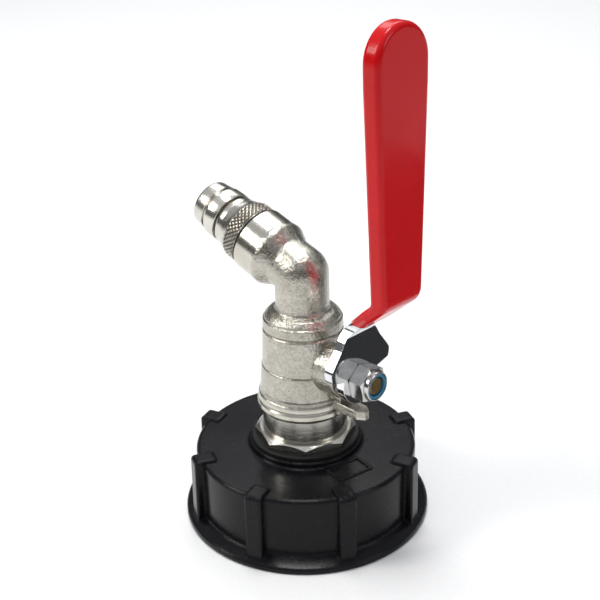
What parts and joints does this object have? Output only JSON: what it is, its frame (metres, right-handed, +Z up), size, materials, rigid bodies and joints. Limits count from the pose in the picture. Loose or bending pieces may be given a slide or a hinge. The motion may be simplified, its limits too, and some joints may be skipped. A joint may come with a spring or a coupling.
{
  "type": "ball valve tap",
  "caption": "Ball valve tap on a coarse-thread tank cap, with an upright lever, an angled spout and a grooved hose tail.",
  "frame": {"origin": "centre of the cap's bottom rim, on the pipe axis, in the plane that the cap stands on", "axes": "+Z up the pipe axis from the cap to the spout, +X along the valve stem towards the lever; the spout points towards -X and the lever stands along +Z when the valve is open"},
  "size_m": [0.0801, 0.077, 0.1573],
  "materials": {
    "black_plastic": "injection moulded, satin black with fine flow marks",
    "black_rubber": "moulded, slightly shiny",
    "nickel_cast": "cast brass, sand grain, nickel plated",
    "nickel_machined": "turned brass, nickel plated, bright",
    "brass": "turned, bare",
    "white_ptfe": "turned, waxy",
    "chrome_ball": "brass, polished and chromed",
    "chrome_steel": "pressed steel plate, bright plated",
    "steel_plain": "zinc plated",
    "red_vinyl": "dip-moulded vinyl, glossy",
    "blue_nylon": "moulded nylon"
  },
  "bodies": {
    "root": {"tank_cap": "black_plastic", "cap_gasket": "black_rubber", "flange_washer": "black_rubber", "inlet_nipple": "nickel_machined", "locknut_washer": "steel_plain", "locknut": "nickel_machined", "body_seal": "white_ptfe", "valve_body": "nickel_cast", "seat_inlet": "white_ptfe", "seat_outlet": "white_ptfe", "stem_thrust_washer": "white_ptfe", "outlet_oring": "black_rubber", "hose_tail": "nickel_machined"},
    "lever": {"handle_lever": "chrome_steel", "handle_grip": "red_vinyl", "handle_nut": "steel_plain", "nut_insert": "blue_nylon", "stem": "brass", "stem_oring_inner": "black_rubber", "stem_oring_outer": "black_rubber"},
    "ball": {"ball": "chrome_ball"}
  },
  "joints": [
    {"name": "lever_turn", "type": "hinge", "parent": "root", "child": "lever", "pos_m": [0, 0, 0.0526], "axis": [1, 0, 0], "range_deg": [-90, 90]},
    {"name": "ball_turn", "type": "hinge", "parent": "root", "child": "ball", "pos_m": [0, 0, 0.0526], "axis": [1, 0, 0], "range_deg": [-90, 90]}
  ],
  "couplings": [
    {"joint": "ball_turn", "follows": "lever_turn", "ratio": 1}
  ]
}
